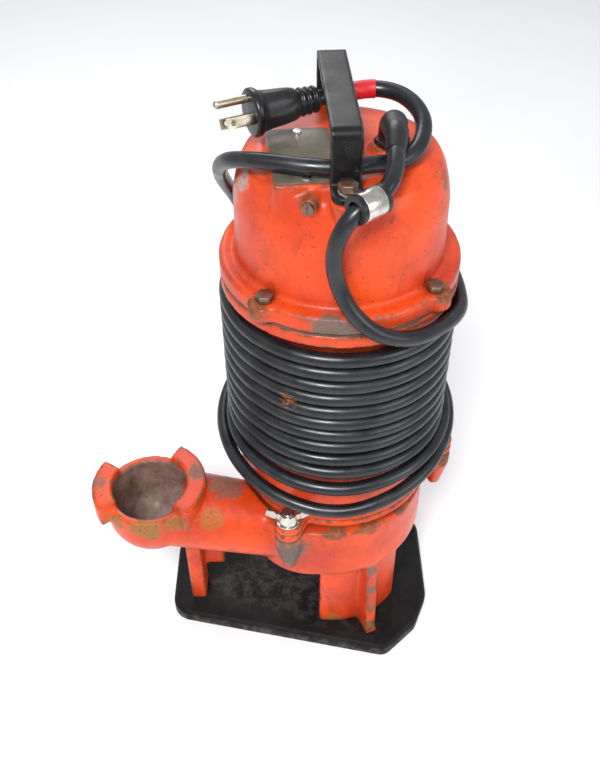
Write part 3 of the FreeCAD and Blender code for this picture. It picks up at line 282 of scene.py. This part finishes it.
# --- materials ---
class Finish:
    """A node material, with its coordinates taken from the object."""

    def __init__(self, name, metallic=0.0, coat=0.0, specular=0.5):
        self.material = bpy.data.materials.new(name)
        self.material.use_nodes = True
        self.tree = self.material.node_tree
        self.shader = self.tree.nodes["Principled BSDF"]
        self.shader.inputs["Metallic"].default_value = metallic
        self.shader.inputs["Coat Weight"].default_value = coat
        self.shader.inputs["Coat Roughness"].default_value = 0.25
        self.shader.inputs["Specular IOR Level"].default_value = specular
        self.place = self.tree.nodes.new("ShaderNodeTexCoord").outputs["Object"]

    def node(self, kind, inputs=(), **settings):
        made = self.tree.nodes.new(kind)
        for key, value in settings.items():
            setattr(made, key, value)
        for key, value in dict(inputs).items():
            if isinstance(value, bpy.types.NodeSocket):
                self.tree.links.new(value, made.inputs[key])
            else:
                made.inputs[key].default_value = value
        return made

    def grain(self, scale, detail=3.0, rough=0.55, warp=0.0, stretch=None):
        place = self.place
        if stretch:
            place = self.node("ShaderNodeMapping", {"Vector": place, "Scale": stretch}).outputs["Vector"]
        return self.node("ShaderNodeTexNoise", {"Vector": place, "Scale": scale, "Detail": detail,
                                                "Roughness": rough, "Distortion": warp}).outputs["Fac"]

    def span(self, value, low, high, to_low=0.0, to_high=1.0):
        return self.node("ShaderNodeMapRange", {"Value": value, "From Min": low, "From Max": high,
                                                "To Min": to_low, "To Max": to_high}).outputs["Result"]

    def calc(self, operation, a, b):
        return self.node("ShaderNodeMath", {0: a, 1: b}, operation=operation).outputs[0]

    def mix(self, share, a, b):
        made = self.node("ShaderNodeMix", {"Factor": share}, data_type="RGBA")
        for key, value in ((6, a), (7, b)):
            if isinstance(value, bpy.types.NodeSocket):
                self.tree.links.new(value, made.inputs[key])
            else:
                made.inputs[key].default_value = (*value, 1)
        return made.outputs[2]

    def near(self, centre, radius, soft):
        """1 within `soft` of the radius about a place in metres, falling to 0 at the radius."""
        away = self.node("ShaderNodeVectorMath", {0: self.place, 1: centre}, operation="DISTANCE")
        return self.span(away.outputs["Value"], radius, radius * soft)

    def edges(self, low, high):
        """Worn edges: convex places of a dense mesh."""
        return self.span(self.node("ShaderNodeNewGeometry").outputs["Pointiness"], low, high)

    def facing_up(self):
        normal = self.node("ShaderNodeNewGeometry").outputs["Normal"]
        return self.span(self.node("ShaderNodeSeparateXYZ", {0: normal}).outputs["Z"], 0.3, 1.0)

    # painted shade: 1 in crevices that ambient occlusion finds, 0 in the open
    def occlusion_shade(self, reach):
        made = self.node("ShaderNodeAmbientOcclusion", {"Distance": reach}, samples=6)
        return self.span(made.outputs["AO"], 0.85, 0.35)

    def done(self, colour, roughness, bumps=()):
        """bumps are (height, strength, depth in mm), each laid over the one before it."""
        self.link(colour, "Base Color")
        self.link(roughness, "Roughness")
        normal = None
        for height, strength, depth in bumps:
            inputs = {"Height": height, "Strength": strength, "Distance": depth * MM}
            if normal:
                inputs["Normal"] = normal
            normal = self.node("ShaderNodeBump", inputs).outputs["Normal"]
        if normal:
            self.link(normal, "Normal")
        return self.material

    def link(self, value, key):
        if isinstance(value, bpy.types.NodeSocket):
            self.tree.links.new(value, self.shader.inputs[key])
        else:
            self.shader.inputs[key].default_value = value


PAINT_BRIGHT = (0.80, 0.075, 0.006)
PAINT_DULL = (0.50, 0.036, 0.006)
RUST_DARK = (0.075, 0.026, 0.013)
RUST_LIGHT = (0.27, 0.105, 0.035)
OCHRE = (0.33, 0.15, 0.03)
BARE_GREY = (0.15, 0.115, 0.09)
CHALK = (0.46, 0.42, 0.38)
# colour of the painted shade laid into crevices
PAINTED_SHADE = (0.040, 0.020, 0.013)


def red_enamel(name, shade_depth, worn=(), lining=()):
    """Orange-red enamel over cast iron. The second argument is how dark the painted shade in its corners and
    crevices is, worn lists (place, radius, strength, tint) of rubbed or rusty patches, and lining (place,
    radius) of bare round insides."""
    f = Finish(name, coat=0.12, specular=0.35)
    blotch = f.span(f.grain(16, 4, 0.6), 0.35, 0.68)
    colour = f.mix(blotch, PAINT_BRIGHT, PAINT_DULL)
    streak = f.span(f.grain(55, 5, 0.7, 0.6, (1, 1, 0.45)), 0.50, 0.78)
    colour = f.mix(f.calc("MULTIPLY", streak, 0.6), colour, (0.24, 0.026, 0.010))
    ragged = f.grain(140, 4, 0.7)
    fine = f.grain(420, 3, 0.6)
    bare = f.calc("MULTIPLY", f.edges(0.508, 0.54), f.span(ragged, 0.44, 0.58))
    rust = f.mix(f.span(f.grain(210, 5, 0.7), 0.35, 0.65), RUST_DARK, RUST_LIGHT)
    colour = f.mix(bare, colour, rust)
    for place, radius, strength, tint in worn:
        patch = f.calc("ADD", f.near(place, radius, 0.35), f.span(ragged, 0.25, 0.75, -0.45, 0.45))
        patch = f.calc("MULTIPLY", f.span(patch, 0.3, 0.75), strength)
        tone = rust if tint == RUST_LIGHT else f.mix(f.span(fine, 0.35, 0.8, 0, 0.5), tint, RUST_DARK)
        colour = f.mix(patch, colour, tone)
        bare = f.calc("MAXIMUM", bare, patch)
    for place, radius in lining:
        inside = f.near(place, radius, 0.9)
        scale = f.mix(f.span(f.grain(45, 5, 0.65), 0.35, 0.7), (0.10, 0.055, 0.040), (0.34, 0.22, 0.19))
        colour = f.mix(inside, colour, scale)
        bare = f.calc("MAXIMUM", bare, f.calc("MULTIPLY", inside, 0.8))
    speck = f.span(f.grain(330, 2, 0.5), 0.66, 0.70)
    colour = f.mix(f.calc("MULTIPLY", speck, 0.5), colour, RUST_DARK)
    # painted shade: crevices found by ambient occlusion are darkened, in patches of noise
    crevice_shade = f.calc("MULTIPLY", f.occlusion_shade(0.012), f.span(f.grain(90, 4), 0.3, 0.65, 0.35, 1.0))
    colour = f.mix(f.calc("MULTIPLY", crevice_shade, shade_depth), colour, PAINTED_SHADE)
    rough = f.span(f.grain(40, 4), 0.3, 0.7, 0.32, 0.5)
    rough = f.calc("MAXIMUM", rough, f.calc("MULTIPLY", bare, 0.8))
    chips = f.calc("MULTIPLY", bare, -1.0)
    return f.done(colour, rough, [(f.grain(60, 3), 0.3, 0.7), (fine, 0.25, 0.14), (chips, 0.5, 0.15)])


def black_enamel(name, dust, gloss, shine, bare=(0.16, 0.13, 0.11)):
    """Black paint with dust on what faces up; gloss is its lowest roughness, and bare its worn edges."""
    f = Finish(name, specular=shine)
    colour = f.mix(f.span(f.grain(40, 4), 0.3, 0.7), (0.004, 0.004, 0.005), (0.011, 0.011, 0.011))
    film = f.calc("MULTIPLY", f.facing_up(), f.span(f.grain(70, 5, 0.65), 0.4, 0.72, 0.1, 1.0))
    colour = f.mix(f.calc("MULTIPLY", film, dust), colour, (0.050, 0.046, 0.042))
    scuff = f.span(f.grain(120, 4, 0.7), 0.45, 0.62)
    edge = f.calc("MULTIPLY", f.edges(0.52, 0.58), scuff)
    colour = f.mix(f.calc("MULTIPLY", edge, 0.8), colour, bare)
    rough = f.span(f.grain(60, 4), 0.3, 0.7, gloss, gloss + 0.22)
    return f.done(colour, rough, [(f.grain(300, 3), 0.2, 0.12)])


def rubber(name, dark=(0.005, 0.006, 0.008), dusty=(0.020, 0.022, 0.025), rough=(0.24, 0.4), marks=()):
    """marks are (place, radius, colour) of paint rubbed on to it."""
    f = Finish(name)
    colour = f.mix(f.span(f.grain(45, 5, 0.6), 0.42, 0.75), dark, dusty)
    for place, radius, tint in marks:
        reach = f.near(place, radius, 0.3)
        mark = f.calc("MULTIPLY", reach, f.span(f.grain(260, 3, 0.6, 0, (1, 1, 3)), 0.5, 0.6))
        colour = f.mix(mark, colour, tint)
    sheen = f.span(f.grain(80, 4), 0.3, 0.7, *rough)
    return f.done(colour, sheen, [(f.grain(140, 3), 0.2, 0.25), (f.grain(900, 2), 0.15, 0.05)])


def plain_metal(name, colour, worn, rough, rust=0.0):
    f = Finish(name, metallic=1.0)
    base = f.mix(f.span(f.grain(120, 4), 0.3, 0.7), colour, worn)
    spots = f.calc("MULTIPLY", f.span(f.grain(260, 5, 0.7), 0.5, 0.66), rust)
    base = f.mix(spots, base, RUST_LIGHT)
    sheen = f.calc("MAXIMUM", f.span(f.grain(180, 4), 0.3, 0.7, *rough), f.calc("MULTIPLY", spots, 0.7))
    return f.done(base, sheen, [(f.grain(500, 2, 0.5), 0.12, 0.08)])


def moulded(name, colour, lighter, rough=(0.3, 0.5)):
    f = Finish(name)
    base = f.mix(f.span(f.grain(60, 4), 0.35, 0.7), colour, lighter)
    return f.done(base, f.span(f.grain(90, 4), 0.3, 0.7, *rough), [(f.grain(600, 2), 0.15, 0.06)])


def laminated(name, colour, lighter):
    """Stack of thin steel sheets, one above the other."""
    f = Finish(name, metallic=1.0)
    base = f.mix(f.span(f.grain(200, 3), 0.3, 0.7), colour, lighter)
    sheets = f.node("ShaderNodeTexWave", {"Vector": f.place, "Scale": 310.0}, bands_direction="Z")
    return f.done(base, 0.5, [(sheets.outputs["Fac"], 0.4, 0.1)])


def wound(name, colour, lighter):
    """Varnished magnet wire, seen as many fine strands."""
    f = Finish(name, metallic=0.7, coat=0.4)
    strands = f.node("ShaderNodeTexWave", {"Vector": f.place, "Scale": 420.0, "Distortion": 6.0},
                     bands_direction="Z").outputs["Fac"]
    return f.done(f.mix(strands, colour, lighter), 0.35, [(strands, 0.5, 0.3)])


def middle(node):
    low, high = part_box(node)
    return (low + high) / 2


# --- finishes; where the paint is worn follows the frame, in metres ---
discharge = next(m for m in frame["record"]["mounts"] if m["name"] == "discharge")
MOUTH = Vector(discharge["pos_m"])
MOUTH_R = discharge["dims"]["r_mm"] * MM
CASING_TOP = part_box("volute_gasket")[0].z
PLATE_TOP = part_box("base_plate")[1].z
CAP_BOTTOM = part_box("cap_gasket")[1].z

LINING_R = MOUTH_R * 1.15
BORE_CENTRE = MOUTH - Vector((0, 0, 0.017))
RIB_FRONT = Vector((0.0335, -0.079, PLATE_TOP))
SCRATCH = Vector((-0.036, -0.074, 0.290))

MOUTH_WEAR = [((0.000, -0.036, -0.002), 0.017, 0.95, OCHRE), ((-0.024, -0.030, -0.002), 0.014, 0.8, OCHRE),
              ((0.022, -0.030, -0.002), 0.012, 0.9, OCHRE), ((0.036, 0.010, 0.010), 0.013, 0.8, BARE_GREY),
              ((-0.038, 0.0, 0.010), 0.010, 0.7, BARE_GREY), ((0.056, 0.006, -0.002), 0.022, 0.75, BARE_GREY),
              ((0.048, -0.022, -0.006), 0.014, 0.6, OCHRE)]
SHELL_WEAR = [((-0.036, -0.086, -0.016), 0.024, 1.0, BARE_GREY), ((0, -0.078, 0), 0.013, 0.85, RUST_LIGHT),
              ((0.026, -0.072, 0), 0.012, 0.8, RUST_LIGHT), ((0.050, -0.054, 0), 0.011, 0.8, RUST_LIGHT)]
RIB_WEAR = [((0, 0, 0.012), 0.014, 1.0, RUST_LIGHT), ((0, 0, 0.036), 0.011, 0.9, RUST_LIGHT),
            ((-0.001, 0.002, 0.060), 0.010, 0.9, BARE_GREY), ((-0.002, 0.004, 0.086), 0.011, 0.9, BARE_GREY)]
SKIRT_WEAR = [((0.000, -0.068, 0.004), 0.012, 0.7, OCHRE)]
FLANK_WEAR = [((0.092, 0.004, -0.004), 0.016, 0.9, RUST_LIGHT)]
CAP_WEAR = [((-0.010, -0.080, 0.006), 0.016, 0.95, BARE_GREY),
            ((0.006, -0.080, 0.006), 0.016, 0.95, BARE_GREY),
            ((0.064, -0.052, 0.012), 0.013, 0.9, RUST_LIGHT),
            ((-0.053, -0.062, 0.008), 0.012, 0.9, RUST_LIGHT),
            ((-0.050, -0.066, -0.002), 0.008, 0.8, BARE_GREY), ((-0.062, -0.022, 0.074), 0.012, 0.8, CHALK),
            ((-0.066, -0.014, 0.058), 0.009, 0.7, CHALK), ((0.060, -0.020, 0.070), 0.010, 0.6, RUST_LIGHT),
            ((-0.022, -0.058, 0.080), 0.010, 0.7, RUST_LIGHT)]


def worn_from(origin, rows):
    """Worn patches whose places are counted from an origin."""
    return [(origin + Vector(offset), *rest) for offset, *rest in rows]


def raised(z):
    return Vector((0, 0, z))


paint_casing = red_enamel(
    "casing_paint", 0.6, worn_from(MOUTH, MOUTH_WEAR) + worn_from(raised(CASING_TOP), SHELL_WEAR)
    + worn_from(RIB_FRONT, RIB_WEAR) + worn_from(raised(PLATE_TOP), SKIRT_WEAR)
    + worn_from(raised(CASING_TOP), FLANK_WEAR),
    [(BORE_CENTRE, LINING_R), (BORE_CENTRE + raised(0.012), LINING_R)])
paint_motor = red_enamel("motor_paint", 0.75)
paint_cap = red_enamel("cap_paint", 0.5, worn_from(raised(CAP_BOTTOM), CAP_WEAR))
paint_plate = black_enamel("plate_enamel", dust=0.12, gloss=0.42, shine=0.12, bare=(0.30, 0.27, 0.23))
strap_enamel = black_enamel("strap_enamel", dust=0.1, gloss=0.22, shine=0.22)
cord_rubber = rubber("cord_rubber", marks=[(SCRATCH, 0.008, (0.75, 0.20, 0.03))])
boot_rubber = rubber("boot_rubber", (0.005, 0.005, 0.006), (0.016, 0.016, 0.017), (0.3, 0.48))
plug_vinyl = rubber("plug_vinyl", (0.005, 0.005, 0.006), (0.026, 0.026, 0.028), (0.22, 0.38))
black_nylon = moulded("black_nylon", (0.012, 0.012, 0.012), (0.03, 0.03, 0.03))
red_tape = moulded("red_tape", (0.62, 0.014, 0.016), (0.42, 0.010, 0.012), (0.3, 0.45))
bright_zinc = plain_metal("bright_zinc", (0.80, 0.79, 0.75), (0.52, 0.49, 0.44), (0.18, 0.36), 0.35)
stainless = plain_metal("stainless", (0.66, 0.65, 0.62), (0.46, 0.44, 0.41), (0.22, 0.40), 0.25)
ground_steel = plain_metal("ground_steel", (0.66, 0.66, 0.67), (0.52, 0.52, 0.53), (0.12, 0.22))
bolt_steel = plain_metal("bolt_steel", (0.30, 0.25, 0.21), (0.20, 0.13, 0.09), (0.4, 0.6), 0.8)
plate_metal = moulded("plate_metal", (0.17, 0.15, 0.11), (0.07, 0.058, 0.042), (0.42, 0.6))
brass = plain_metal("dull_brass", (0.60, 0.54, 0.42), (0.36, 0.31, 0.23), (0.3, 0.45))
raw_iron = plain_metal("raw_iron", (0.16, 0.15, 0.145), (0.09, 0.08, 0.075), (0.5, 0.7), 0.4)
cast_aluminium = plain_metal("cast_aluminium", (0.70, 0.70, 0.71), (0.55, 0.55, 0.56), (0.35, 0.5))
fibre = moulded("gasket_fibre", (0.07, 0.045, 0.03), (0.13, 0.09, 0.06), (0.7, 0.9))
ceramic = moulded("ceramic", (0.80, 0.78, 0.73), (0.70, 0.67, 0.62), (0.15, 0.25))
carbon = moulded("carbon", (0.02, 0.02, 0.021), (0.035, 0.035, 0.036), (0.35, 0.5))
red_wire = moulded("wire_insulation", (0.35, 0.02, 0.02), (0.22, 0.015, 0.015), (0.25, 0.4))
core_steel = laminated("core_steel", (0.30, 0.30, 0.31), (0.20, 0.20, 0.21))
copper = wound("magnet_wire", (0.42, 0.14, 0.05), (0.62, 0.26, 0.10))

# --- castings and other pieces whose corners are worn or moulded round ---
cast("volute_casing", "casing_skin", paint_casing, 1.6, 7)
cast("motor_cap", "cap_skin", paint_cap, 1.3, 4)
cast("motor_housing", "motor_skin", paint_motor, 1.8, 4)
cast("seal_housing", "seal_housing_skin", paint_motor, 1.6, 3)
cast("handle", "handle_strap", strap_enamel, 0.8, 3)
cast("wing_nuts", "wing_nut_skins", bright_zinc, 0.55, 3)
for node_name, material, width in [
        ("base_plate", paint_plate, 1.0), ("gland_nut", black_nylon, 0.6), ("cord_clip", bright_zinc, 0.3),
        ("cap_bolts", bolt_steel, 0.5), ("handle_bolts", bolt_steel, 0.5), ("stud_washers", bright_zinc, 0.3),
        ("oil_fill_plug", bolt_steel, 0.4), ("nameplate", plate_metal, 0.2)]:
    eased(node_name, node_name + "_eased", material, width)
blades_piece = eased("plug_blades", "plug_blades_eased", brass, 0.25)

# --- what is on the cord ---
line = centreline(cord)


BOOT_R = (8.5, 5.6)        # at its root and its tip, millimetres
BOOT_FLARE = 1.6           # how much later than evenly it narrows
TAPE_REACH = 0.006         # from its middle to each end, metres
TAPE_T = 0.5
TAPE_TUCK = 0.1            # its ends close in to this much inside the cord's surface


def boot():
    """Tapered strain relief: up out of the gland, over, and out to the cord."""
    nut = middle("gland_nut")
    base = Vector((nut.x, nut.y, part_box("gland_nut")[1].z))
    start, ahead = line[0], (line[0] - line[6]).normalized()
    bends = [base, base + Vector((0, -0.0002, 0.005)), base + Vector((0, -0.004, 0.0096)),
             base + Vector((-0.0003, -0.0135, 0.0106)), start + ahead * 0.010, start, start - ahead * 0.005]
    guide = spline_through("boot_path", bends, 12)
    path = centreline(guide)
    bpy.data.objects.remove(guide)
    root_r, tip_r = BOOT_R
    shares = [i / (len(path) - 1) for i in range(len(path))]
    radii = [(root_r - (root_r - tip_r) * share ** BOOT_FLARE) * MM for share in shares]
    return sleeve("strain_relief_boot", path, radii)


def band():
    """Marker tape that lies close round the cord."""
    centre = middle("cord_band")
    nearest = min(range(len(line)), key=lambda i: (line[i] - centre).length)
    first = last = nearest
    while (line[first] - line[nearest]).length < TAPE_REACH:
        first -= 1
    while (line[last] - line[nearest]).length < TAPE_REACH:
        last += 1
    path = line[first:last + 1]
    path.insert(1, path[0].lerp(path[1], 0.1))
    path.insert(-1, path[-1].lerp(path[-2], 0.1))
    radii = [(CORD_R + TAPE_T) * MM for _ in path]
    radii[0] = radii[-1] = (CORD_R - TAPE_TUCK) * MM
    return sleeve("marker_tape", path, radii, 40)


# Rows of distance from the cord's end, half width, half height and squareness; millimetres.
PLUG_RINGS = [
    (0.0, 5.9, 5.9, 0.0), (1.0, 7.6, 7.6, 0.0), (2.2, 8.2, 8.2, 0.0), (3.4, 8.0, 8.0, 0.0),
    (4.0, 6.6, 6.6, 0.0), (5.2, 6.6, 6.6, 0.0), (5.8, 8.3, 8.3, 0.0), (7.6, 8.4, 8.4, 0.0),
    (8.2, 6.9, 6.9, 0.0), (9.4, 6.9, 6.9, 0.0), (10.0, 8.6, 8.6, 0.0), (11.8, 8.7, 8.7, 0.0),
    (12.4, 7.3, 7.3, 0.0), (13.4, 7.4, 7.4, 0.0), (14.6, 8.8, 9.0, 0.1), (18.0, 9.6, 10.0, 0.25),
    (24.0, 10.2, 10.6, 0.4), (30.0, 10.8, 11.0, 0.4), (35.0, 11.3, 11.6, 0.3), (38.0, 12.0, 12.2, 0.15),
    (39.2, 13.6, 13.6, 0.0), (40.0, 14.3, 14.3, 0.0), (43.2, 14.4, 14.4, 0.0), (44.0, 13.7, 13.7, 0.0)]
PLUG_SIDES = 48
PLUG_TURN = 205.0          # heading of its blades, degrees from +X
PLUG_ROLL = 25.0


def plug():
    """Moulded plug: ribbed neck, squarish grip and a round face."""
    end = Vector(CORD_REAR[-1]) * MM
    turn = Matrix.Rotation(math.radians(PLUG_TURN), 4, "Z") @ Matrix.Rotation(math.radians(PLUG_ROLL), 4, "X")
    rings = []
    for x, wide, high, square in PLUG_RINGS:
        power = 1 / (1 + square)
        ring = []
        for j in range(PLUG_SIDES):
            t = 2 * math.pi * j / PLUG_SIDES
            c, s = math.cos(t), math.sin(t)
            y = math.copysign(abs(c) ** power, c) * wide
            z = math.copysign(abs(s) ** power, s) * high
            ring.append(end + turn @ (Vector((x, y, z)) * MM))
        rings.append(ring)
    piece = rings_to_mesh("plug_moulding", rings)
    smooth_shaded(piece.data, 60)
    settle(piece, ("SUBSURF", {"levels": 1}))
    smooth_shaded(piece.data, 60)
    return piece


boot_piece = stands_for(boot(), "strain_relief", boot_rubber)
band_piece = stands_for(band(), "cord_band", red_tape)
plug_piece = stands_for(plug(), "plug_body", plug_vinyl)
cord.data.materials.append(cord_rubber)
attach(cord, "pump_body")
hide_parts("cord_lead_front", "cord_coil", "cord_lead_rear")

# --- finishes of the CAD nodes that keep their shape ---
KEPT = {
    brass: ["plug_ground_pin"],
    boot_rubber: ["clip_cushion", "gland_grommet", "seal_seat_cup", "seal_bellows"],
    bolt_steel: ["base_plate_screws", "shaft_snap_ring"],
    stainless: ["nameplate_screws", "volute_studs", "impeller_washer", "impeller_screw", "seal_spring",
                "seal_retainer", "wave_washer", "capacitor_strap", "lower_bearing_cage",
                "upper_bearing_cage"],
    ground_steel: ["shaft"] + [f"{end}_bearing_{piece}" for end in ("lower", "upper")
                               for piece in ("inner", "outer", "balls")],
    fibre: ["volute_gasket", "cap_gasket"],
    raw_iron: ["upper_bearing_bracket", "impeller"],
    core_steel: ["rotor_core", "stator_core"],
    cast_aluminium: ["rotor_end_rings", "capacitor"],
    copper: ["stator_windings"],
    ceramic: ["seal_seat"],
    carbon: ["seal_carbon_face"],
    black_nylon: ["overload_protector"],
    red_wire: ["internal_leads"],
}
for material, names in KEPT.items():
    for node_name in names:
        mesh = NODES[node_name].data
        mesh.materials.clear()
        mesh.materials.append(material)


# --- floor and light ---
LIT_PLACE = Vector((0, 0, 0.25))


def make_floor():
    bpy.ops.mesh.primitive_plane_add(size=6.0, location=(0, 0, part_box("base_plate")[0].z))
    floor = bpy.context.object
    floor.name = "floor"
    f = Finish("floor_white")
    colour = f.mix(f.span(f.grain(2.5, 3), 0.3, 0.7), (0.86, 0.86, 0.87), (0.90, 0.90, 0.90))
    floor.data.materials.append(f.done(colour, 0.8))


def area_light(name, at, size, power):
    """Round light that faces the pump's middle."""
    data = bpy.data.lights.new(name, "AREA")
    data.shape = "DISK"
    data.size = size
    data.energy = power
    light = linked(name, data)
    light.location = at
    light.rotation_euler = (LIT_PLACE - Vector(at)).to_track_quat("-Z", "Y").to_euler()


make_floor()
area_light("key", (-0.25, -1.0, 1.5), 0.4, 24)
area_light("fill", (1.1, -0.8, 0.9), 0.9, 6)
area_light("back", (-0.3, 1.2, 1.3), 0.9, 8)
world = bpy.data.worlds.new("studio")
world.use_nodes = True
world.node_tree.nodes["Background"].inputs["Color"].default_value = (0.95, 0.96, 1.0, 1)
world.node_tree.nodes["Background"].inputs["Strength"].default_value = 0.6
bpy.context.scene.world = world
bpy.context.scene.view_settings.view_transform = "Standard"
